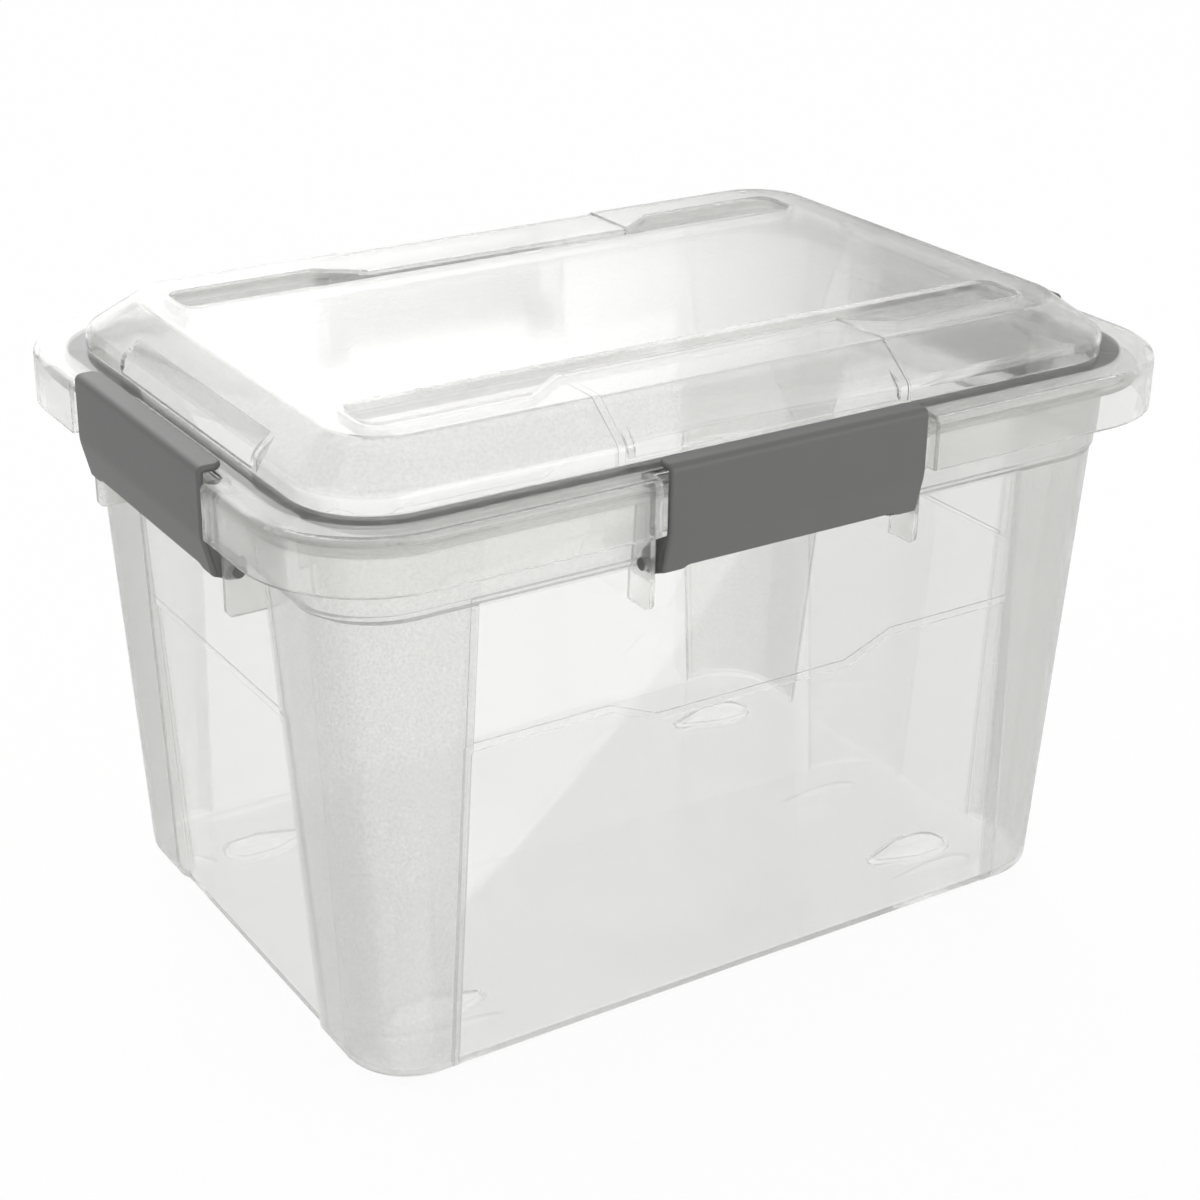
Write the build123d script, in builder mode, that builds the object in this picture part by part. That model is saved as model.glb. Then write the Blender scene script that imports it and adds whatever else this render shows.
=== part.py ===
"""Clear plastic storage bin with a domed lid, a foam gasket and four hinged clips.

Millimetres, +Z up, +X along the long side, the origin on the ground under the middle.
Every rounded rectangle is centred on the origin and given by its half sizes and corner radius.
"""
from build123d import *
import os

# Driving sizes of the whole bin
skirt_half_length = 202.4
skirt_half_width = 143.0
skirt_corner = 49.6

# Tub
foot_depth = 3.0
tub_wall = 2.4
floor_thickness = 2.5
base_half_length = 168.4
base_half_width = 118.4
base_corner = 28.0
base_edge_radius = 7.0
shoulder_half_length = 179.4
shoulder_half_width = 122.6
shoulder_corner = 29.0
shoulder_height = 199.5
collar_inset = 18.7
collar_flare = 1.4
collar_corner = 32.0
collar_edge = 3.0
rim_height = 234.4
rim_thickness = 2.0
rim_inset = 6.5
rim_corner = 43.5

# Recessed panels between the corner pillars, upper part and the lower part under the ledge
panel_depth_top = 1.2
panel_depth_bottom = 3.2
ledge_height = 141.4
ledge_drop = 9.1
ledge_step = 0.8
ledge_half_middle = 45.0
ledge_half_outer = 67.0
long_panel_half_top = 124.6
long_panel_half_bottom = 131.4
short_panel_half_top = 58.5
short_panel_half_bottom = 67.0
panel_side_slant = 2.6

# Leaf shaped feet under the floor
foot_x = 120.5
foot_y = 76.5
foot_length = 44.0
foot_width = 22.0
foot_tip_width = 6.0
foot_wall = 2.2
foot_draft = 2.0

# Lid
skirt_bottom = 220.3
lid_wall = 2.2
lid_top = 242.0
lid_shoulder = 3.0
dome_inset = 20.8
dome_corner = 31.0
dome_wall_height = 6.5
dome_slope_run = 17.5
dome_top = 262.3
dome_top_corner = 24.0
dome_bend_radius = 5.0
dome_edge_radius = 2.0

# Channels across the dome top that the feet of another bin nest in
slot_inner_y = 65.0
slot_outer_y = 89.5
slot_end_x = 150.0
slot_neck_x = 64.5
slot_bend_x = 84.0
channel_outer_y = 75.5
slot_depth = 4.0
slot_corner = 7.0
strip_sink = 0.6

# Flat facets cut in the dome behind each clip
facet_half = 60.0
facet_run = 8.2
facet_rise = 12.7
facet_wall_share = 1.2

# Bays in the lid's rim that the clips lie in
bay_half = 62.2
bay_depth = 3.8
bay_sink = 2.0
bay_ledge = 8.8

# Gasket
gasket_outer_inset = 11.3
gasket_inner_inset = 21.8
gasket_outer_corner = 42.0
gasket_gap = 0.3

# Clips, measured outward from the hinge pin's axis and up from it
pin_inset = 13.0
pin_height = 205.0
pin_diameter = 5.0
pin_clearance = 0.05
clip_half = 58.5
clip_face = 12.4
clip_wall = 2.8
clip_bottom = 1.8
clip_middle_rise = 1.3
clip_bend_height = 14.5
clip_lean = 4.0
clip_hook_tip = 1.6
clip_hook_height = 38.35
clip_top_radius = 3.0
clip_corner_radius = 5.0
lug_radius = 3.9
lug_width = 10.0
lug_half = 58.5
lug_inner_reach = 2.0
lug_inner_rise = 9.5

# Ears of the tub that carry the pins
ear_gap = 1.4
ear_thickness = 2.2
ear_reach = 5.6
ear_bottom = 188.0
ear_corner = 3.0
ear_root = 27.0
pin_head = 0.6


def outline(half_length, half_width, corner, height):
    """A rounded rectangle sketch at a height."""
    with BuildSketch(Plane.XY.offset(height)) as sketch:
        RectangleRounded(2 * half_length, 2 * half_width, corner)
    return sketch.sketch


def tapered(lower, upper):
    """A straight-sided solid between two outlines, each (half length, half width, corner, height)."""
    with BuildPart() as form:
        loft([outline(*lower), outline(*upper)], ruled=True)
    return form.part


def face_at(base_half, shoulder_half, height):
    """How far out a pillar's face stands at a height."""
    share = (height - foot_depth) / (shoulder_height - foot_depth)
    return base_half + (shoulder_half - base_half) * share


def panel_depth(height):
    """How deep a panel is sunk below the pillars at a height."""
    share = (height - foot_depth) / (shoulder_height - foot_depth)
    return panel_depth_bottom + (panel_depth_top - panel_depth_bottom) * share


def panel_wedge(base_half, shoulder_half, bottom_half, top_half, sink, high):
    """The space outside one sunk panel that faces -Y: it widens outwards and narrows upwards."""
    reach = 30.0
    flare = reach * panel_side_slant / panel_depth_bottom
    sections = []
    for half, height in ((bottom_half, foot_depth - base_edge_radius), (top_half, high)):
        face = face_at(base_half, shoulder_half, height) - panel_depth(height) - sink
        with BuildSketch(Plane.XY.offset(height)) as section:
            with BuildLine():
                Polyline(
                    (-half, -face),
                    (half, -face),
                    (half + flare, -face - reach),
                    (-half - flare, -face - reach),
                    close=True,
                )
            make_face()
        sections.append(section.sketch)
    with BuildPart() as wedge:
        loft(sections, ruled=True)
    return wedge.part


def under_ledge(drop, gap):
    """Everything in front that lies under a panel's ledge line, which dips by drop in the middle."""
    reach = skirt_half_length
    high = ledge_height + gap
    low = high - drop
    with BuildPart() as space:
        with BuildSketch(Plane.XZ):
            with BuildLine():
                Polyline(
                    (-reach, -reach),
                    (reach, -reach),
                    (reach, high),
                    (ledge_half_outer, high),
                    (ledge_half_middle, low),
                    (-ledge_half_middle, low),
                    (-ledge_half_outer, high),
                    (-reach, high),
                    close=True,
                )
            make_face()
        extrude(amount=reach)
    return space.part


def box_form(inset, low, high):
    """The tub's tapered body without its four sunk panels, drawn in by a wall."""
    base = (base_half_length - inset, base_half_width - inset, base_corner - inset, low)
    top = (shoulder_half_length - inset, shoulder_half_width - inset, shoulder_corner - inset, high)
    long_side = (base_half_width, shoulder_half_width, long_panel_half_bottom, long_panel_half_top, ledge_drop)
    short_side = (base_half_length, shoulder_half_length, short_panel_half_bottom, short_panel_half_top, 0)
    with BuildPart() as form:
        add(tapered(base, top))
        fillet(form.faces().sort_by(Axis.Z)[0].edges(), base_edge_radius - inset)
        for turn, side in ((0, long_side), (90, short_side), (180, long_side), (270, short_side)):
            face_low, face_high, half_low, half_high, drop = side
            upper = panel_wedge(face_low, face_high, half_low + inset, half_high + inset, inset, high)
            lower = panel_wedge(face_low, face_high, half_low + inset, half_high + inset, inset + ledge_step, high)
            lower = lower & under_ledge(drop, inset)
            add(upper.rotate(Axis.Z, turn), mode=Mode.SUBTRACT)
            add(lower.rotate(Axis.Z, turn), mode=Mode.SUBTRACT)
    return form.part


def leaf_outline(inset, height):
    """The outline of one foot, round towards +X and pointed the other way."""
    length = foot_length / 2 - inset
    width = foot_width / 2 - inset
    tip = foot_tip_width / 2 - inset / 2
    with BuildSketch(Plane.XY.offset(height)) as outline_sketch:
        with BuildLine():
            Polyline(
                (length - width, width),
                (0, width),
                (-length, tip),
                (-length, -tip),
                (0, -width),
                (length - width, -width),
            )
            ThreePointArc((length - width, -width), (length, 0), (length - width, width))
        make_face()
    return outline_sketch.sketch


def leaf(inset, top, bottom):
    """One foot, drawn in by a wall, a little smaller at its bottom."""
    with BuildPart() as form:
        loft([leaf_outline(inset, top), leaf_outline(inset + foot_draft, bottom)], ruled=True)
    return form.part


def ear(side):
    """One ear plate of the front clip; side is +1 or -1 along X."""
    axis = skirt_half_width - pin_inset
    root = skirt_half_width - ear_root
    front = axis + ear_reach
    top = rim_height - rim_thickness / 2
    with BuildPart() as plate:
        with BuildSketch(Plane.YZ.offset(side * (lug_half + ear_gap))) as profile:
            with BuildLine():
                Polyline((-root, ear_bottom), (-front, ear_bottom), (-front, top), (-root, top), close=True)
            make_face()
            corner = profile.vertices().sort_by(Axis.Y)[:2].sort_by(Axis.X)[0]
            fillet(corner, ear_corner)
            with Locations((-axis, pin_height)):
                Circle(pin_diameter / 2 + pin_clearance, mode=Mode.SUBTRACT)
        extrude(amount=side * ear_thickness)
    return plate.part


def sides():
    """The clip's four sides: name, turn about Z from the front, and the move outwards from the front."""
    further = skirt_half_length - skirt_half_width
    return (("front", 0, 0.0), ("right", 90, further), ("back", 180, 0.0), ("left", 270, further))


def to_side(shape, turn, further):
    """A shape made for the front side, carried to another side."""
    return shape.moved(Location((0, -further, 0))).rotate(Axis.Z, turn)


def make_tub():
    """The clear tub: tapered body, flared collar, rim, hollow feet and the clips' ears."""
    collar_low = (
        skirt_half_length - collar_inset - collar_flare,
        skirt_half_width - collar_inset - collar_flare,
        collar_corner,
    )
    collar_high = (skirt_half_length - collar_inset, skirt_half_width - collar_inset, collar_corner + collar_flare)
    collar_seat = shoulder_height + tub_wall
    floor_top = foot_depth + floor_thickness
    rim_low = rim_height - rim_thickness
    rim = (skirt_half_length - rim_inset, skirt_half_width - rim_inset, rim_corner)
    with BuildPart() as collar:
        add(tapered((*collar_low, shoulder_height), (*collar_high, rim_height)))
        chamfer(collar.faces().sort_by(Axis.Z)[0].edges(), collar_edge)
    with BuildPart() as collar_space:
        inner_low = [size - tub_wall for size in collar_low]
        inner_high = [size - tub_wall for size in collar_high]
        add(tapered((*inner_low, collar_seat), (*inner_high, rim_height + tub_wall)))
        chamfer(collar_space.faces().sort_by(Axis.Z)[0].edges(), collar_edge - tub_wall / 2)
    with BuildPart() as tub:
        add(box_form(0, foot_depth, shoulder_height + tub_wall / 2))
        add(collar.part)
        with BuildSketch(Plane.XY.offset(rim_low)):
            RectangleRounded(2 * rim[0], 2 * rim[1], rim[2])
        extrude(amount=rim_thickness)
        for name, turn, further in sides():
            for side in (1, -1):
                add(to_side(ear(side), turn, further))
        for x, y, turn in ((1, 1, 0), (1, -1, 0), (-1, 1, 180), (-1, -1, 180)):
            foot = leaf(0, floor_top - floor_thickness / 2, 0).rotate(Axis.Z, turn)
            add(foot.moved(Location((x * foot_x, y * foot_y, 0))))
        add(box_form(tub_wall, floor_top, collar_seat + tub_wall), mode=Mode.SUBTRACT)
        add(collar_space.part, mode=Mode.SUBTRACT)
        for x, y, turn in ((1, 1, 0), (1, -1, 0), (-1, 1, 180), (-1, -1, 180)):
            pocket = leaf(foot_wall, floor_top + foot_wall, foot_wall).rotate(Axis.Z, turn)
            add(pocket.moved(Location((x * foot_x, y * foot_y, 0))), mode=Mode.SUBTRACT)
    return tub.part


def bay_block(grow):
    """What is cut from the lid's rim for the front clip, grown by a wall for the inside."""
    half = bay_half + grow
    face = skirt_half_width - bay_depth - grow
    ledge = skirt_half_width - bay_ledge - grow
    sunk = lid_top - bay_sink - grow
    low = skirt_bottom - lid_wall
    with BuildPart() as block:
        with BuildSketch(Plane.YZ):
            with BuildLine():
                Polyline(
                    (-face, low),
                    (-face, sunk),
                    (-ledge, sunk),
                    (-ledge, lid_top + lid_wall),
                    (-skirt_half_width - lid_wall, lid_top + lid_wall),
                    (-skirt_half_width - lid_wall, low),
                    close=True,
                )
            make_face()
        extrude(amount=half, both=True)
    return block.part


def rim_form(inset, low):
    """The lid's rim as a slab with its four bays, drawn in by a wall."""
    with BuildPart() as form:
        with BuildSketch(Plane.XY.offset(low)):
            RectangleRounded(2 * (skirt_half_length - inset), 2 * (skirt_half_width - inset), skirt_corner - inset)
        extrude(amount=lid_top - inset - low)
        fillet(form.faces().sort_by(Axis.Z)[-1].edges(), lid_shoulder - inset / 2)
        for name, turn, further in sides():
            add(to_side(bay_block(inset), turn, further), mode=Mode.SUBTRACT)
    return form.part


def dome_block(inset, low):
    """The plain dome: an upright foot, then a slope up to the flat top."""
    foot = (skirt_half_length - dome_inset - inset, skirt_half_width - dome_inset - inset, dome_corner - inset)
    top = (foot[0] - dome_slope_run, foot[1] - dome_slope_run, dome_top_corner - inset)
    bend = lid_top + dome_wall_height - inset / 2
    with BuildPart() as form:
        with BuildSketch(Plane.XY.offset(low)):
            RectangleRounded(2 * foot[0], 2 * foot[1], foot[2])
        extrude(amount=bend - low)
        add(tapered((*foot, bend), (*top, dome_top - inset)))
        fillet(form.edges().filter_by(lambda edge: abs(edge.center().Z - bend) < 0.01), dome_bend_radius)
        fillet(form.faces().sort_by(Axis.Z)[-1].edges(), dome_edge_radius)
    return form.part


def channel(grow):
    """The channel along the front of the dome top, wide at both ends for the feet."""
    inner = -slot_inner_y + grow
    outer = -slot_outer_y - grow
    neck = -channel_outer_y - grow
    end = slot_end_x + grow
    with BuildPart() as cut:
        with BuildSketch(Plane.XY.offset(dome_top - slot_depth - grow)) as shape:
            with BuildLine():
                Polyline(
                    (-end, inner),
                    (end, inner),
                    (end, outer),
                    (slot_bend_x, outer),
                    (slot_neck_x, neck),
                    (-slot_neck_x, neck),
                    (-slot_bend_x, outer),
                    (-end, outer),
                    close=True,
                )
            make_face()
            fillet(shape.vertices().group_by(Axis.X)[0], slot_corner + grow)
            fillet(shape.vertices().group_by(Axis.X)[-1], slot_corner + grow)
        extrude(amount=slot_depth + 2 * grow + lid_wall)
    return cut.part


def middle_zone(grow):
    """The middle of the dome's front, outside the channel, where the surface is sunk a little."""
    with BuildPart() as zone:
        with Locations((0, -(channel_outer_y + skirt_half_width) / 2, dome_top)):
            Box(2 * slot_neck_x + 2 * grow, skirt_half_width - channel_outer_y, 4 * lid_top)
    return zone.part


def facet(grow):
    """The wedge cut off the dome's foot behind the front clip."""
    foot = skirt_half_width - dome_inset - grow * facet_wall_share
    low = lid_top - lid_wall - grow
    rise = facet_rise + lid_wall + grow
    run = facet_run * rise / facet_rise
    start = foot + facet_run * (lid_wall + grow) / facet_rise
    with BuildPart() as wedge:
        with BuildSketch(Plane.YZ):
            with BuildLine():
                Polyline(
                    (-start, low),
                    (-start + run, low + rise),
                    (-start - run, low + rise),
                    (-start - run, low),
                    close=True,
                )
            make_face()
        extrude(amount=facet_half + grow, both=True)
    return wedge.part


def dome_form(inset, low):
    """The dome with its channels, sunk middle zones and facets, drawn in by a wall."""
    with BuildPart() as form:
        add(dome_block(inset, low))
        for turn in (0, 180):
            add(middle_zone(inset).rotate(Axis.Z, turn), mode=Mode.SUBTRACT)
            middle = dome_block(inset + strip_sink, low) & middle_zone(inset)
            add(middle.rotate(Axis.Z, turn))
            add(channel(inset).rotate(Axis.Z, turn), mode=Mode.SUBTRACT)
        for name, turn, further in sides():
            add(to_side(facet(inset), turn, further), mode=Mode.SUBTRACT)
    return form.part


def make_lid():
    """The clear lid: a rim with a deep skirt and bays, and the raised dome."""
    with BuildPart() as lid:
        add(rim_form(0, skirt_bottom))
        add(dome_form(0, lid_top - lid_wall))
        add(rim_form(lid_wall, skirt_bottom - lid_wall), mode=Mode.SUBTRACT)
        add(dome_form(lid_wall, skirt_bottom), mode=Mode.SUBTRACT)
    return lid.part


def make_gasket():
    """The foam ring under the lid's plate, over the tub's rim."""
    low = rim_height + gasket_gap
    with BuildPart() as gasket:
        with BuildSketch(Plane.XY.offset(low)):
            RectangleRounded(
                2 * (skirt_half_length - gasket_outer_inset),
                2 * (skirt_half_width - gasket_outer_inset),
                gasket_outer_corner,
            )
            RectangleRounded(
                2 * (skirt_half_length - gasket_inner_inset),
                2 * (skirt_half_width - gasket_inner_inset),
                gasket_outer_corner - gasket_inner_inset + gasket_outer_inset,
                mode=Mode.SUBTRACT,
            )
        extrude(amount=lid_top - lid_wall - low)
    return gasket.part


def clip_plate():
    """The front clip's outer plate and hook: the plate's lowest part leans inwards."""
    face = skirt_half_width - pin_inset + clip_face
    back = face - clip_wall
    tip = skirt_half_width - pin_inset + clip_hook_tip
    under = pin_height + clip_hook_height
    top = under + clip_wall
    low = pin_height - clip_bottom
    bend = pin_height + clip_bend_height
    with BuildPart() as plate:
        with BuildSketch(Plane.YZ):
            with BuildLine():
                Polyline(
                    (-face, bend),
                    (-face, top),
                    (-tip, top),
                    (-tip, under),
                    (-back, under),
                    (-back, bend),
                    (-back + clip_lean, low),
                    (-face + clip_lean, low),
                    close=True,
                )
            make_face()
        extrude(amount=clip_half, both=True)
        inner_corners = plate.edges().filter_by(Axis.Z).group_by(Axis.Y)[-1]
        fillet(inner_corners, clip_corner_radius)
        long_edges = plate.edges().filter_by(Axis.X)
        fillet(long_edges.sort_by(lambda edge: edge.center().Z - edge.center().Y)[-1], clip_top_radius)
        with BuildSketch(Plane.XZ.offset(tip)):
            with Locations((0, low)):
                Rectangle(2 * (lug_half - lug_width), 2 * clip_middle_rise)
        extrude(amount=skirt_half_width, mode=Mode.SUBTRACT)
    return plate.part


def clip_lug(side):
    """One lug of the front clip: it slopes down from the plate to a boss round the pin."""
    axis = skirt_half_width - pin_inset
    back = axis + clip_face - clip_wall / 2
    low = pin_height - clip_bottom
    bend = pin_height + clip_bend_height
    with BuildPart() as lug:
        with BuildSketch(Plane.YZ.offset(side * lug_half)):
            with Locations((-axis, pin_height)):
                Circle(lug_radius)
            with BuildLine():
                Polyline(
                    (-axis, pin_height - lug_radius),
                    (-back + clip_lean, low),
                    (-back, bend),
                    (-axis - lug_inner_reach, pin_height + lug_inner_rise),
                    (-axis, pin_height + lug_radius),
                    close=True,
                )
            make_face()
            with Locations((-axis, pin_height)):
                Circle(pin_diameter / 2, mode=Mode.SUBTRACT)
        extrude(amount=-side * lug_width)
    return lug.part


def make_clip():
    """The front clip: the plate with its hook and two lugs for the pins."""
    with BuildPart() as clip:
        add(clip_plate())
        add(clip_lug(-1))
        add(clip_lug(1))
    return clip.part


def make_pin(side):
    """One hinge pin of the front clip; side is +1 or -1 along X."""
    axis = skirt_half_width - pin_inset
    length = lug_width + ear_gap + ear_thickness + pin_head
    with BuildPart() as pin:
        with BuildSketch(Plane.YZ.offset(side * (lug_half - lug_width))):
            with Locations((-axis, pin_height)):
                Circle(pin_diameter / 2)
        extrude(amount=side * length)
        fillet(pin.edges().filter_by(GeomType.CIRCLE).sort_by(Axis.X)[-1 if side > 0 else 0], pin_head)
    return pin.part


def save(piece, name):
    """Label a finished piece and write it."""
    piece.label = name
    export_step(piece, "parts/" + name + ".step")


os.makedirs("parts", exist_ok=True)
save(make_tub(), "tub")
save(make_lid(), "lid")
save(make_gasket(), "gasket")
for name, turn, further in sides():
    save(to_side(make_clip(), turn, further), name + "_clip")
    for end, side in (("left", -1), ("right", 1)):
        save(to_side(make_pin(side), turn, further), name + "_clip_pin_" + end)
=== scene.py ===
"""Clear plastic storage bin: tub, domed lid, foam gasket, four clips with their pins, and a plain stage."""
import math

import bmesh
import bpy
import numpy as np
from mathutils import Matrix, Vector


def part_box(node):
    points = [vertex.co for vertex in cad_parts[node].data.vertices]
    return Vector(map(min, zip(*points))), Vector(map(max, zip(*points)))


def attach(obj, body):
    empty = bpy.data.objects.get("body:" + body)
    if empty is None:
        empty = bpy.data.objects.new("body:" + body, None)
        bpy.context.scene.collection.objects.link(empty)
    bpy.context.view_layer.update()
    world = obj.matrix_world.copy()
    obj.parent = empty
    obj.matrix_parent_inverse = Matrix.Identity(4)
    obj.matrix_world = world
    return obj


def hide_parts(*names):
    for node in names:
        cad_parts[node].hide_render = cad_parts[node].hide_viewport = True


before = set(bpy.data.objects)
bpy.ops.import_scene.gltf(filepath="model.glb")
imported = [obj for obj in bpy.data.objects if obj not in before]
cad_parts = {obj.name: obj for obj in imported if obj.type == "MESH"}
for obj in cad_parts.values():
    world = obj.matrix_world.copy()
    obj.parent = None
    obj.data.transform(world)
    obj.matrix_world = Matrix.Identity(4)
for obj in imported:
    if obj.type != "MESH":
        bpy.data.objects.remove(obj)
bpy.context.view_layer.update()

bl_info = {
    "name": "Clear storage bin",
    "version": (1, 0, 0),
    "blender": (4, 5, 0),
    "location": "View3D > Sidebar > Storage Bin",
    "description": "Builds the pieces and finishes of a clear storage bin over its packed frame",
    "category": "Object",
}

MM = 0.001
SIDES = (("front", 0), ("right", 90), ("back", 180), ("left", 270))

# Outputs of the light path node
CAMERA_RAY, SHADOW_RAY, REFLECTED_RAY, THROUGH_RAY = 0, 1, 5, 6

# Places of the clips, in mm: the pins' axes from the middle and above the ground
pin_reach_long = 130.0
pin_reach_short = 189.4
pin_height = 205.0

# The clip, in mm, measured out from its pin's axis and up from it
clip_face = 12.4
clip_under = 38.35
clip_tip = 1.6
clip_bend = 3.0
clip_corner = 5.0
clip_edge = 1.4
clip_bottom = 1.8
clip_middle_rise = 1.3
clip_lean = 4.0
clip_lean_height = 14.5
clip_lean_blend = 2.5

# Where the clip's foot drops over the lugs, in mm along the clip from its middle
foot_drop_from = 46.5
foot_drop_length = 3.5

# The lugs, in mm along the clip from its middle
lug_near = 48.5
lug_far = 58.3
lug_edge = 0.5

# The pins, in mm along the clip from its middle, and how their outer ends are rounded
pin_near = 48.6
pin_far = 62.7
pin_end_length = 0.6
pin_end_draw = 0.7

# Frosted zones, in metres: the panels' half widths at the ground, and what they lose for each metre up
panel_half_long, panel_loss_long = 0.1315, 0.0346
panel_half_short, panel_loss_short = 0.0671, 0.0433
pillar_from = 0.006
collar_from = 0.1995
slope_from, slope_to = 0.2475, 0.2616

# The clear plastic: its bending, the share of light that isn't bent, its haze and its darker grazing edges
plastic_index = 1.45
unbent_share = 0.2
haze_share = 0.3
edge_power = 5.0
edge_share = 0.85

# The camera: its place in metres, its turns in degrees, its lens in mm
camera_place = (-0.50099, -0.77994, 0.54805)
camera_azimuth = -31.89
camera_elevation = 24.52
camera_roll = 0.39
camera_lens = 71.135
camera_sensor = 36
camera_shift = 0.0333

# The surroundings: light cast on the bin, and a glow seen only in reflections, by the cosine from its middle
cast_level = 0.42
glow_towards = (0.161, 0.913, 0.375)
glow_from, glow_full = 0.86, 0.98
glow_level = 2.2
reflected_level = 0.9

floor_half = 4.0
floor_glow = 0.93


class Wire:
    """A shader socket whose sums, products and the like become Math nodes."""

    def __init__(self, finish, socket):
        self.finish = finish
        self.socket = socket

    def maths(self, operation, *others):
        return self.finish.maths(operation, self, *others)

    def __add__(self, other):
        return self.maths("ADD", other)

    def __rsub__(self, other):
        return self.finish.maths("SUBTRACT", other, self)

    def __mul__(self, other):
        return self.maths("MULTIPLY", other)

    def __pow__(self, other):
        return self.maths("POWER", other)

    def clamp(self):
        return self.finish.node("ShaderNodeClamp", {}, self, 0.0, 1.0)[0]


class Finish:
    """A material or world whose nodes are made by one method."""

    def __init__(self, owner):
        owner.use_nodes = True
        self.tree = owner.node_tree
        self.tree.nodes.clear()

    def node(self, kind, settings, *values, **named):
        """Adds a node, sets its settings, then its sockets by order or by name; returns its outputs."""
        made = self.tree.nodes.new(kind)
        for name, value in settings.items():
            setattr(made, name, value)
        pairs = [(made.inputs[i], value) for i, value in enumerate(values)]
        pairs += [(made.inputs[name.replace("_", " ")], value) for name, value in named.items()]
        for socket, value in pairs:
            if isinstance(value, Wire):
                self.tree.links.new(value.socket, socket)
            elif value is not None:
                socket.default_value = value
        return [Wire(self, socket) for socket in made.outputs]

    def maths(self, operation, *values):
        return self.node("ShaderNodeMath", {"operation": operation}, *values)[0]

    def blend(self, share, low, high):
        """A colour between two; the colour sockets of the node come after five others."""
        return self.node("ShaderNodeMix", {"data_type": "RGBA"}, share, *[None] * 5, (*low, 1.0), (*high, 1.0))[2]

    def end(self, surface):
        self.node("ShaderNodeOutputMaterial", {}, surface)


def new_material(name):
    material = bpy.data.materials.new(name)
    return material, Finish(material)


def clear_glass(f, colour, roughness):
    """The bent part of the clear plastic's light."""
    return f.node(
        "ShaderNodeBsdfPrincipled",
        {},
        Base_Color=(*colour, 1.0),
        Roughness=roughness,
        IOR=plastic_index,
        Transmission_Weight=1.0,
    )[0]


def clear_finish(f, tint, frost):
    """Clear moulding: faintly tinted glass, part of it unbent, hazed where frost is above 0. Lamps pass through."""
    glass = clear_glass(f, tint, frost * 0.2 + 0.015)
    haze = f.node("ShaderNodeBsdfPrincipled", {}, Base_Color=(0.7, 0.7, 0.68, 1.0), Roughness=0.5)[0]
    through = f.node("ShaderNodeBsdfTransparent", {}, (*tint, 1.0))[0]
    bright = f.node("ShaderNodeMixShader", {}, unbent_share, glass, through)[0]
    dark = clear_glass(f, (0.3, 0.3, 0.29), 0.05)
    rim = f.node("ShaderNodeLayerWeight", {}, 0.5)[1]
    edged = f.node("ShaderNodeMixShader", {}, (rim**edge_power) * edge_share, bright, dark)[0]
    hazed = f.node("ShaderNodeMixShader", {}, frost * haze_share, edged, haze)[0]
    shadow = f.node("ShaderNodeLightPath", {})[SHADOW_RAY]
    f.end(f.node("ShaderNodeMixShader", {}, shadow, hazed, through)[0])


def stipple(f, place, scale):
    """Fine moulded texture: 0 between the dots and 1 on them."""
    dots = f.node("ShaderNodeTexVoronoi", {}, place, None, scale)[0]
    return (1.0 - dots * 1.6).clamp()


def tub_plastic(look):
    """Clear panels and floor, with finely frosted corner pillars and collar."""
    material, f = new_material("clear tub plastic")
    place = f.node("ShaderNodeTexCoord", {})[3]
    x, y, z = f.node("ShaderNodeSeparateXYZ", {}, place)
    past_long = x.maths("ABSOLUTE").maths("GREATER_THAN", panel_half_long - z * panel_loss_long)
    past_short = y.maths("ABSOLUTE").maths("GREATER_THAN", panel_half_short - z * panel_loss_short)
    pillar = past_long * past_short * z.maths("GREATER_THAN", pillar_from)
    collar = z.maths("GREATER_THAN", collar_from)
    zone = pillar.maths("MAXIMUM", collar * 0.75)
    grain = stipple(f, place, 900.0)
    clear_finish(f, look.clear_tint, zone * (grain * 0.45 + 0.65) * look.frost)
    return material


def lid_plastic(look):
    """Clear lid whose dome slopes carry a fine stipple."""
    material, f = new_material("clear lid plastic")
    place = f.node("ShaderNodeTexCoord", {})[3]
    z = f.node("ShaderNodeSeparateXYZ", {}, place)[2]
    slope = z.maths("GREATER_THAN", slope_from) * z.maths("LESS_THAN", slope_to)
    grain = stipple(f, place, 750.0)
    clear_finish(f, look.clear_tint, slope * (grain * 0.35 + 0.35) * look.frost)
    return material


def grey_plastic(look):
    """Satin dark grey moulding with a faint spark-eroded grain."""
    material, f = new_material("grey clip plastic")
    place = f.node("ShaderNodeTexCoord", {})[3]
    grain = f.node("ShaderNodeTexNoise", {}, place, None, 1400.0, 2.0)[0]
    patches = f.node("ShaderNodeTexNoise", {}, place, None, 28.0, 2.0)[0]
    bump = f.node("ShaderNodeBump", {}, Strength=0.12, Distance=0.0002, Height=grain)[0]
    darker = [v * 0.94 for v in look.clip_colour]
    lighter = [v * 1.06 for v in look.clip_colour]
    skin = f.node(
        "ShaderNodeBsdfPrincipled",
        {},
        Base_Color=f.blend(patches, darker, lighter),
        Roughness=grain * 0.12 + 0.42,
        Normal=bump,
    )[0]
    f.end(skin)
    return material


def foam(look):
    """Closed-cell foam: matt, with small pores."""
    material, f = new_material("gasket foam")
    place = f.node("ShaderNodeTexCoord", {})[3]
    pores = f.node("ShaderNodeTexVoronoi", {}, place, None, 1100.0)[0]
    bump = f.node("ShaderNodeBump", {}, Strength=0.3, Distance=0.0003, Height=pores)[0]
    skin = f.node(
        "ShaderNodeBsdfPrincipled",
        {},
        Base_Color=(*look.foam_colour, 1.0),
        Roughness=pores * 0.1 + 0.75,
        Normal=bump,
    )[0]
    f.end(skin)
    return material


def finished(name, make):
    """The material of this name, made once."""
    found = bpy.data.materials.get(name)
    return found if found else make(bpy.context.scene.bin_look)


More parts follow.
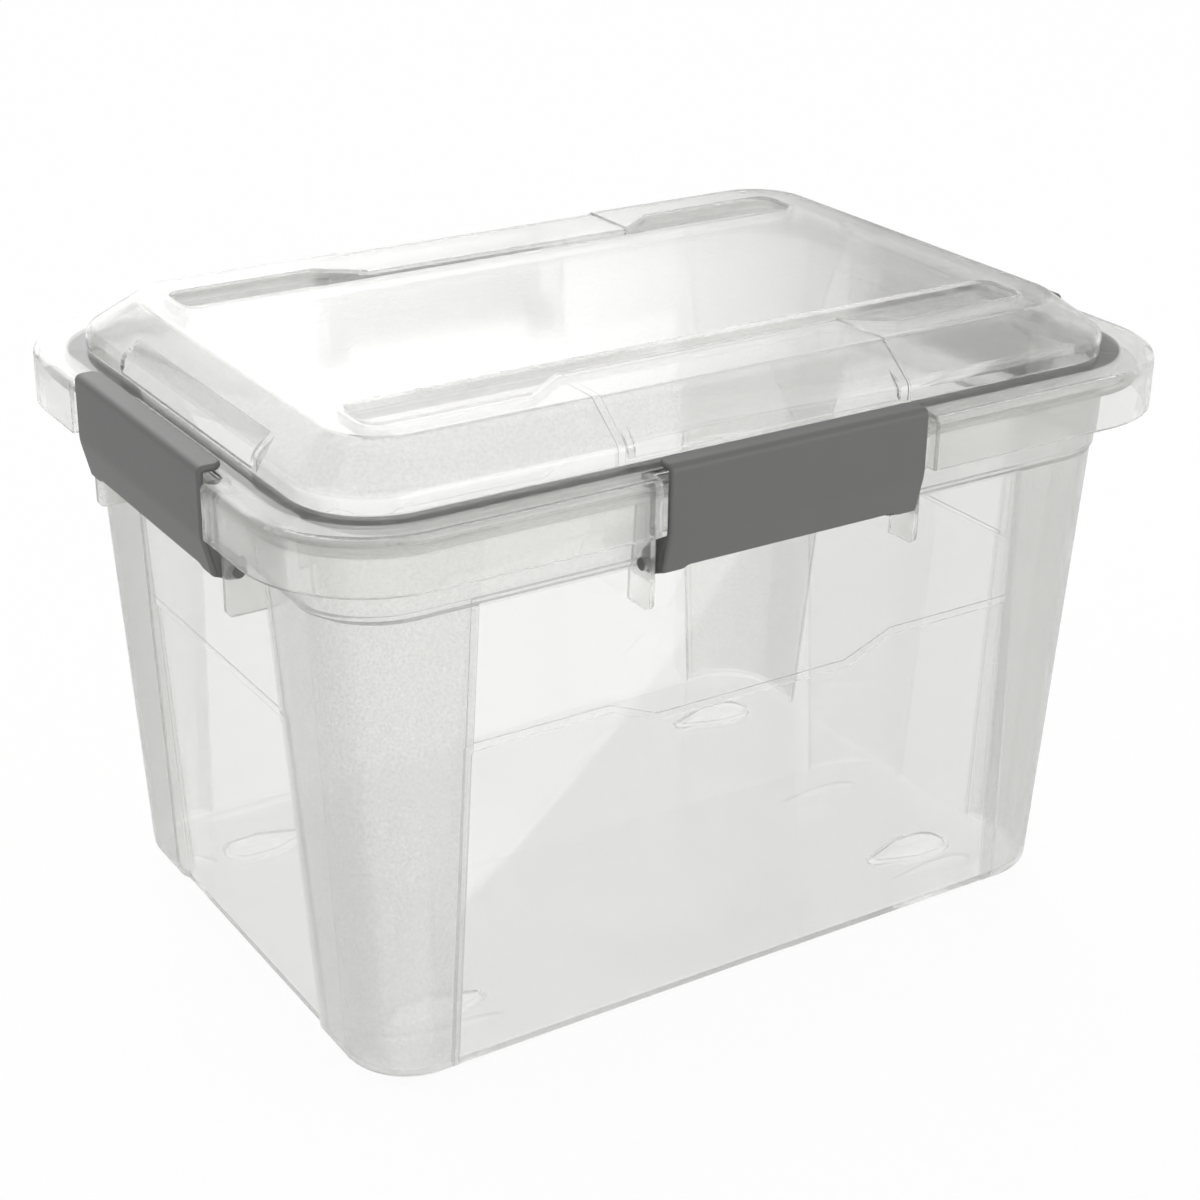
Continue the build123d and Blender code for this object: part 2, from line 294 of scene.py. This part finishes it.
def tag(made, body, node, material):
    """Puts a piece on its body in place of a CAD node, with its finish."""
    made.data.materials.append(material)
    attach(made, body)
    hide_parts(node)


def mesh_object(name, places, faces):
    """A smooth object from an array of points and an array of faces."""
    mesh = bpy.data.meshes.new(name)
    mesh.from_pydata(places.tolist(), [], faces.tolist())
    mesh.shade_smooth()
    made = bpy.data.objects.new(name, mesh)
    bpy.context.scene.collection.objects.link(made)
    return made


def grid_faces(rows, columns, closed_rows, closed_columns):
    """Quads of a grid whose point (i, j) is number i * columns + j; closed ways wrap round."""
    i, j = np.meshgrid(
        np.arange(rows if closed_rows else rows - 1),
        np.arange(columns if closed_columns else columns - 1),
        indexing="ij",
    )
    k, m = (i + 1) % rows, (j + 1) % columns
    return np.stack([i * columns + j, i * columns + m, k * columns + m, k * columns + j], axis=-1).reshape(-1, 4)


def join(parts):
    """One array of points and one of quads from several."""
    places, faces, start = [], [], 0
    for points, quads in parts:
        places.append(points)
        faces.append(quads + start)
        start += len(points)
    return np.concatenate(places), np.concatenate(faces)


def tidy_mesh(made, angle):
    """Merges doubles, turns faces outwards and marks edges sharper than an angle in degrees."""
    work = bmesh.new()
    work.from_mesh(made.data)
    bmesh.ops.remove_doubles(work, verts=work.verts, dist=2e-6)
    bmesh.ops.dissolve_degenerate(work, edges=work.edges, dist=2e-6)
    bmesh.ops.recalc_face_normals(work, faces=work.faces)
    work.to_mesh(made.data)
    work.free()
    made.data.shade_smooth()
    made.data.set_sharp_from_angle(angle=math.radians(angle))
    return made


def to_side(points, turn):
    """Front-clip points (along, out, up) in mm, carried to a side of the bin, in metres.

    The front's along is +X and its out is -Y; each side is the front turned by a quarter about Z,
    with the pin's axis at that side's distance from the middle.
    """
    reach = pin_reach_long if turn % 180 == 0 else pin_reach_short
    a = math.radians(turn)
    along, out, up = points[..., 0], points[..., 1] + reach, points[..., 2] + pin_height
    x = along * math.cos(a) + out * math.sin(a)
    y = along * math.sin(a) - out * math.cos(a)
    return np.stack([x, y, up], axis=-1) * MM


def smooth_step(t):
    """3t^2 - 2t^3 between 0 and 1, flat outside."""
    t = np.clip(t, 0.0, 1.0)
    return t * t * (3.0 - 2.0 * t)


def clip_columns(half):
    """Places along the clip: even in the middle, close where the foot drops, an arc's steps at the ends."""
    middle = np.linspace(0, 44, 23)
    drop = np.linspace(45.5, 53.0, 9)
    over_lug = np.linspace(53.4, half - 1.5, 8)
    end = half - clip_edge * (1 - np.sin(np.linspace(0, np.pi / 2, 7)))
    x = np.concatenate([middle, drop, over_lug, end])
    return np.concatenate([-x[:0:-1], x])


def clip_line(x, half, thick, ends):
    """The plate's middle line at each place x, row by row: hook, bend, plate and lean.

    The hook's tip draws back as a quarter circle near the clip's ends: c - sqrt(c^2 - b^2), where b is the
    length past the corner's start. The foot drops by a smooth step over the lugs. The plate turns into its
    lean along a parabola, out = face - slope * span * s^2 / 2, so both ends of the turn meet without a kink.
    """

    def row(out, up):
        return np.stack([np.broadcast_to(out, x.shape), np.broadcast_to(up, x.shape)], -1)

    face = clip_face - thick / 2
    high = clip_under + thick / 2
    turn = clip_bend - thick / 2
    corner, top = face - turn, high - turn
    beyond = np.clip(np.abs(x) - (half - clip_corner), 0.0, clip_corner)
    tip = clip_tip + clip_corner - np.sqrt(np.maximum(clip_corner**2 - beyond**2, 0.0))
    rows = [row(tip + step, high) for step in ends]
    start = tip + clip_edge
    rows += [row(start + (corner - start) * s, high) for s in np.linspace(0, 1, 6)[1:]]
    rows += [row(corner + turn * np.sin(a), top + turn * np.cos(a)) for a in np.linspace(0, np.pi / 2, 9)[1:]]

    lean_from, span = clip_lean_height + clip_lean_blend, 2 * clip_lean_blend
    slope = clip_lean / (clip_lean_height + clip_bottom)
    rows += [row(face, top + (lean_from - top) * s) for s in np.linspace(0, 1, 12)[1:-1]]
    rows += [row(face - slope * span * s**2 / 2, lean_from - span * s) for s in np.linspace(0, 1, 6)]

    foot = clip_middle_rise - clip_bottom
    foot = foot - clip_middle_rise * smooth_step((np.abs(x) - foot_drop_from) / foot_drop_length)
    lean_to, start = lean_from - span, face - slope * span / 2
    drop = lean_to - (foot + clip_edge)
    rows += [row(start - slope * drop * s, lean_to - drop * s) for s in np.linspace(0, 1, 7)[1:]]
    rows += [row(start - slope * (drop + clip_edge - step), foot + step) for step in ends[::-1][1:]]
    return np.stack(rows)


def clip_slab(half, thick):
    """The plate and hook: their middle line thickened to both sides.

    The half thickness falls as a quarter ellipse at the hook's tip, at the foot and at both ends.
    """
    x = clip_columns(half)
    ends = (1 - np.cos(np.linspace(0, np.pi / 2, 7))) * clip_edge
    line = clip_line(x, half, thick, ends)
    away = np.gradient(line, axis=0)
    away /= np.maximum(np.linalg.norm(away, axis=-1, keepdims=True), 1e-9)
    normal = np.stack([-away[..., 1], away[..., 0]], -1)
    rim = np.sin(np.arccos(1 - ends / clip_edge))
    fall = np.ones(len(line))
    fall[: len(ends)] = rim
    fall[-len(ends):] = rim[::-1]
    last = np.clip((half - np.abs(x)) / clip_edge, 0.0, 1.0)
    across = np.sqrt(1 - (1 - last) ** 2)
    deep = (thick / 2) * fall[:, None] * across[None, :]
    outer = line + normal * deep[..., None]
    inner = line - normal * deep[..., None]
    loop = np.concatenate([outer, inner[::-1]])
    wide = np.broadcast_to(x[None, :, None], (*loop.shape[:2], 1))
    points = np.concatenate([wide, loop], -1)
    return points.reshape(-1, 3), grid_faces(loop.shape[0], loop.shape[1], True, False)


def rounded_profile(corners, radii, count):
    """A closed outline: each corner becomes an arc of its radius that touches both its edges."""
    corners = np.array(corners, dtype=float)
    made = []
    for i, radius in enumerate(radii):
        here, before, after = corners[i], corners[i - 1], corners[(i + 1) % len(corners)]
        a, b = before - here, after - here
        a, b = a / np.linalg.norm(a), b / np.linalg.norm(b)
        half = np.arccos(np.clip(a @ b, -1, 1)) / 2
        reach = radius / np.tan(half)
        middle = here + (a + b) / np.linalg.norm(a + b) * radius / np.sin(half)
        first, last = here + a * reach - middle, here + b * reach - middle
        start = np.arctan2(first[1], first[0])
        sweep = (np.arctan2(last[1], last[0]) - start + np.pi) % (2 * np.pi) - np.pi
        angle = start + sweep * np.linspace(0, 1, count)
        made.append(middle + radius * np.stack([np.cos(angle), np.sin(angle)], -1))
    return np.concatenate(made)


def block(profile, low, high, edge):
    """A bar of one outline from low to high along X: it draws in by edge as a quarter circle at both ends."""
    centre = profile.mean(axis=0)
    away = (profile - centre) / np.linalg.norm(profile - centre, axis=1, keepdims=True)
    cap = np.broadcast_to(centre, profile.shape)
    angle = np.linspace(0, np.pi / 2, 5)
    arc = [(edge * (1 - np.sin(a)), profile - away * edge * (1 - np.cos(a))) for a in angle]
    rings = [(low, cap)]
    rings += [(low + step, ring) for step, ring in reversed(arc)]
    rings += [(high - step, ring) for step, ring in arc]
    rings += [(high, cap)]
    points = np.stack([np.insert(ring, 0, x, axis=1) for x, ring in rings])
    return points.reshape(-1, 3), grid_faces(points.shape[0], points.shape[1], False, True)


def lug_outline():
    """The lug's outline (out, up): a wedge from the plate down to the boss round the pin."""
    corners = [(-3.9, -3.9), (2.5, -3.9), (7.2, -1.8), (10.6, 14.3), (2.0, 9.4), (-3.9, 3.9)]
    return rounded_profile(corners, [3.8, 1.5, 0.6, 0.6, 2.0, 3.0], 7)


def pin_rows(side, radius):
    """One pin: rings along X whose radius falls as a quarter ellipse at the outer end."""
    rise = np.sin(np.linspace(0, np.pi / 2, 8))[1:]
    shank = np.linspace(pin_near + 0.5, pin_far - pin_end_length, 5)
    xs = np.concatenate([[pin_near, pin_near], shank, pin_far - pin_end_length * (1 - rise), [pin_far]])
    drawn = radius - pin_end_draw * (1 - np.sqrt(1 - rise**2))
    radii = np.concatenate([[0.0, radius], np.full(len(shank), radius), drawn, [0.0]])
    angle = np.linspace(0, 2 * np.pi, 40, endpoint=False)
    ring = np.stack([np.cos(angle), np.sin(angle)], -1)
    points = radii[:, None, None] * ring[None]
    wide = np.broadcast_to(side * xs[:, None, None], (*points.shape[:2], 1))
    points = np.concatenate([wide, points], -1)
    return points.reshape(-1, 3), grid_faces(points.shape[0], points.shape[1], False, True)


def smooth_copy(node, name, angle):
    """A merged copy of a CAD node, smooth but for edges sharper than an angle in radians."""
    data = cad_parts[node].data
    places = np.empty(len(data.vertices) * 3)
    data.vertices.foreach_get("co", places)
    places = places.reshape(-1, 3)
    corners = np.empty(len(data.loops), dtype=np.int64)
    data.loops.foreach_get("vertex_index", corners)
    rounded = np.round(places * 1e6).astype(np.int64)
    _, first, back = np.unique(rounded, axis=0, return_index=True, return_inverse=True)
    corners = back.reshape(-1)[corners].reshape(-1, 3)
    kept = (corners != np.roll(corners, 1, axis=1)).all(axis=1)
    made = mesh_object(name, places[first], corners[kept])
    made.data.set_sharp_from_angle(angle=angle)
    return made


def ring_path(half_length, half_width, corner, per_corner):
    """Points once round a rounded rectangle, and the outward direction at each: four quarter circles."""
    angle = np.linspace(0, np.pi / 2, per_corner)
    points, away = [], []
    for k, (sx, sy) in enumerate(((1, 1), (-1, 1), (-1, -1), (1, -1))):
        a = angle + k * np.pi / 2
        middle = np.array([sx * (half_length - corner), sy * (half_width - corner)])
        direction = np.stack([np.cos(a), np.sin(a)], -1)
        points.append(middle + corner * direction)
        away.append(direction)
    return np.concatenate(points), np.concatenate(away)


class BIN_look(bpy.types.PropertyGroup):
    """Colours and finishes that a user may change."""

    clear_tint: bpy.props.FloatVectorProperty(
        name="Clear tint", description="Colour that light keeps at each face of the clear plastic",
        default=(0.965, 0.966, 0.958), min=0, max=1, subtype="COLOR",
    )
    frost: bpy.props.FloatProperty(
        name="Frost", description="Strength of the frosting on pillars, collar and dome slopes",
        default=1.0, min=0, max=1.5, subtype="FACTOR",
    )
    clip_colour: bpy.props.FloatVectorProperty(
        name="Clip grey", description="Colour of the clips and their pins",
        default=(0.108, 0.108, 0.106), min=0, max=1, subtype="COLOR",
    )
    foam_colour: bpy.props.FloatVectorProperty(
        name="Foam grey", description="Colour of the gasket",
        default=(0.6, 0.605, 0.595), min=0, max=1, subtype="COLOR",
    )


class BIN_sizes(bpy.types.PropertyGroup):
    """Sizes of the mouldings' creases, the foam ring, the clips and the pins."""

    smooth_angle: bpy.props.FloatProperty(
        name="Crease angle", description="Edges sharper than this stay crisp on the clear mouldings",
        default=math.radians(26), subtype="ANGLE",
    )
    gasket_round: bpy.props.FloatProperty(
        name="Foam edge", description="Radius of the foam ring's edges", default=0.0014, unit="LENGTH",
    )
    gasket_width: bpy.props.FloatProperty(
        name="Foam width", description="Width of the foam ring from its outside", default=0.0105, unit="LENGTH",
    )
    gasket_corner: bpy.props.FloatProperty(
        name="Foam corner", description="Radius of the foam ring's corners outside", default=0.042, unit="LENGTH",
    )
    clip_length: bpy.props.FloatProperty(
        name="Clip length", description="Length of each clip along its side", default=0.117, unit="LENGTH",
    )
    clip_thickness: bpy.props.FloatProperty(
        name="Clip thickness", description="Thickness of the clips' plate and hook", default=0.0028, unit="LENGTH",
    )
    pin_radius: bpy.props.FloatProperty(
        name="Pin radius", description="Radius of the hinge pins", default=0.0025, unit="LENGTH",
    )


class BIN_OT_tub(bpy.types.Operator):
    """Adds the clear tub"""

    bl_idname = "storage_bin.tub"
    bl_label = "Tub"

    def execute(self, context):
        made = smooth_copy("tub", "clear_tub", context.scene.bin_sizes.smooth_angle)
        tag(made, "tub", "tub", finished("clear tub plastic", tub_plastic))
        return {"FINISHED"}


class BIN_OT_lid(bpy.types.Operator):
    """Adds the clear lid"""

    bl_idname = "storage_bin.lid"
    bl_label = "Lid"

    def execute(self, context):
        made = smooth_copy("lid", "clear_lid", context.scene.bin_sizes.smooth_angle)
        tag(made, "lid", "lid", finished("clear lid plastic", lid_plastic))
        return {"FINISHED"}


class BIN_OT_gasket(bpy.types.Operator):
    """Adds the foam gasket"""

    bl_idname = "storage_bin.gasket"
    bl_label = "Gasket"

    def execute(self, context):
        sizes = context.scene.bin_sizes
        width, edge, corner = sizes.gasket_width / MM, sizes.gasket_round / MM, sizes.gasket_corner / MM
        low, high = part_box("gasket")
        base, top = low[2] / MM, high[2] / MM
        profile = rounded_profile([(0, base), (0, top), (-width, top), (-width, base)], [edge] * 4, 6)
        path, away = ring_path(high[0] / MM, high[1] / MM, corner, 40)
        points = path[:, None, :] + away[:, None, :] * profile[None, :, :1]
        up = np.broadcast_to(profile[None, :, 1:], (len(path), len(profile), 1))
        points = np.concatenate([points, up], -1)
        faces = grid_faces(len(path), len(profile), True, True)
        made = tidy_mesh(mesh_object("foam_ring", points.reshape(-1, 3) * MM, faces), 40)
        tag(made, "lid", "gasket", finished("gasket foam", foam))
        return {"FINISHED"}


class BIN_OT_clips(bpy.types.Operator):
    """Adds the four clips"""

    bl_idname = "storage_bin.clips"
    bl_label = "Clips"

    def execute(self, context):
        sizes = context.scene.bin_sizes
        outline = lug_outline()
        slab = clip_slab(sizes.clip_length / MM / 2, sizes.clip_thickness / MM)
        right_lug = block(outline, lug_near, lug_far, lug_edge)
        left_lug = block(outline, -lug_far, -lug_near, lug_edge)
        points, faces = join([slab, right_lug, left_lug])
        for name, turn in SIDES:
            made = tidy_mesh(mesh_object(name + "_hooked_clip", to_side(points, turn), faces), 50)
            node = name + "_clip"
            tag(made, node, node, finished("grey clip plastic", grey_plastic))
        return {"FINISHED"}


class BIN_OT_pins(bpy.types.Operator):
    """Adds the hinge pins"""

    bl_idname = "storage_bin.pins"
    bl_label = "Pins"

    def execute(self, context):
        radius = context.scene.bin_sizes.pin_radius / MM
        for name, turn in SIDES:
            for end, side in (("left", -1), ("right", 1)):
                points, faces = pin_rows(side, radius)
                node = f"{name}_clip_pin_{end}"
                made = tidy_mesh(mesh_object(f"{name}_round_pin_{end}", to_side(points, turn), faces), 60)
                tag(made, name + "_clip", node, finished("grey clip plastic", grey_plastic))
        return {"FINISHED"}


def softbox(name, place, target, size, power):
    """A soft rectangular lamp that looks from place to target."""
    lamp = bpy.data.lights.new(name, "AREA")
    lamp.shape = "RECTANGLE"
    lamp.size, lamp.size_y = size
    lamp.energy = power
    made = bpy.data.objects.new(name, lamp)
    turn = (Vector(place) - Vector(target)).to_track_quat("Z", "Y")
    made.matrix_world = Matrix.LocRotScale(Vector(place), turn, None)
    bpy.context.scene.collection.objects.link(made)


def add_camera(scene):
    """The camera, turned by its azimuth and elevation, then rolled about its line of sight."""
    azimuth, elevation, roll = (math.radians(v) for v in (camera_azimuth, camera_elevation, camera_roll))
    level_share = math.cos(elevation)
    back = Vector((math.sin(azimuth) * level_share, -math.cos(azimuth) * level_share, math.sin(elevation)))
    right = Vector((math.cos(azimuth), math.sin(azimuth), 0))
    up = back.cross(right)
    across = math.cos(roll) * right + math.sin(roll) * up
    upright = -math.sin(roll) * right + math.cos(roll) * up
    camera = bpy.data.cameras.new("camera")
    camera.lens = camera_lens
    camera.sensor_width = camera_sensor
    camera.shift_x = camera_shift
    made = bpy.data.objects.new("camera", camera)
    place = Matrix((across, upright, back)).transposed().to_4x4()
    place.translation = Vector(camera_place)
    made.matrix_world = place
    scene.collection.objects.link(made)
    scene.camera = made


def seen_rays(f):
    """1 for rays from the camera, straight or through the plastic, a little less for reflected ones, else 0."""
    paths = f.node("ShaderNodeLightPath", {})
    seen = paths[CAMERA_RAY].maths("MAXIMUM", paths[THROUGH_RAY])
    return seen.maths("MAXIMUM", paths[REFLECTED_RAY] * reflected_level), paths[REFLECTED_RAY]


def white_world(scene):
    """White where it is seen, dimmer in the light it casts, and brighter at the back in reflections."""
    world = bpy.data.worlds.new("white surroundings")
    scene.world = world
    f = Finish(world)
    seen, reflected = seen_rays(f)
    towards = f.node("ShaderNodeTexCoord", {})[0]
    near = f.node("ShaderNodeVectorMath", {"operation": "DOT_PRODUCT"}, towards, glow_towards)[1]
    smooth = {"interpolation_type": "SMOOTHSTEP"}
    glow = f.node("ShaderNodeMapRange", smooth, near, glow_from, glow_full, 0.0, glow_level)[0]
    level = seen.maths("MAXIMUM", cast_level) + reflected * glow
    f.node("ShaderNodeOutputWorld", {}, f.node("ShaderNodeBackground", {}, (1, 1, 1, 1), level)[0])


def white_floor():
    """A floor that glows white where it is seen, and is matt and near white for all other rays."""
    corners = np.array([(-1, -1, 0), (1, -1, 0), (1, 1, 0), (-1, 1, 0)]) * floor_half
    floor = mesh_object("floor", corners, np.array([[0, 1, 2, 3]]))
    material, f = new_material("white floor")
    seen = seen_rays(f)[0]
    matt = f.node("ShaderNodeBsdfPrincipled", {}, Base_Color=(0.9, 0.9, 0.9, 1.0), Roughness=0.9)[0]
    glow = f.node("ShaderNodeEmission", {}, (1, 1, 1, 1), 1.0)[0]
    f.end(f.node("ShaderNodeMixShader", {}, seen * floor_glow, matt, glow)[0])
    floor.data.materials.append(material)


class BIN_OT_stage(bpy.types.Operator):
    """Adds the camera, the white surroundings, the floor and the lamp"""

    bl_idname = "storage_bin.stage"
    bl_label = "Stage"

    def execute(self, context):
        context.scene.view_settings.view_transform = "Standard"
        add_camera(context.scene)
        white_world(context.scene)
        white_floor()
        softbox("front softbox", place=(0.9, -2.2, 0.9), target=(0, 0, 0.15), size=(1.4, 1.0), power=14)
        return {"FINISHED"}


class BIN_PT_panel(bpy.types.Panel):
    """Lists the bin's pieces, looks and sizes"""

    bl_label = "Storage Bin"
    bl_idname = "BIN_PT_panel"
    bl_space_type = "VIEW_3D"
    bl_region_type = "UI"
    bl_category = "Storage Bin"

    def draw(self, context):
        groups = ((context.scene.bin_look, BIN_look), (context.scene.bin_sizes, BIN_sizes))
        for group, kind in groups:
            for name in kind.__annotations__:
                self.layout.prop(group, name)
        for step in OPERATORS:
            self.layout.operator(step.bl_idname)


OPERATORS = (BIN_OT_tub, BIN_OT_lid, BIN_OT_gasket, BIN_OT_clips, BIN_OT_pins, BIN_OT_stage)
CLASSES = (BIN_look, BIN_sizes, *OPERATORS, BIN_PT_panel)


def register():
    for made in CLASSES:
        bpy.utils.register_class(made)
    bpy.types.Scene.bin_look = bpy.props.PointerProperty(type=BIN_look)
    bpy.types.Scene.bin_sizes = bpy.props.PointerProperty(type=BIN_sizes)


def unregister():
    del bpy.types.Scene.bin_look
    del bpy.types.Scene.bin_sizes
    for made in reversed(CLASSES):
        bpy.utils.unregister_class(made)


def main():
    register()
    bpy.ops.storage_bin.tub()
    bpy.ops.storage_bin.lid()
    bpy.ops.storage_bin.gasket()
    bpy.ops.storage_bin.clips()
    bpy.ops.storage_bin.pins()
    bpy.ops.storage_bin.stage()


if __name__ == "__main__":
    main()
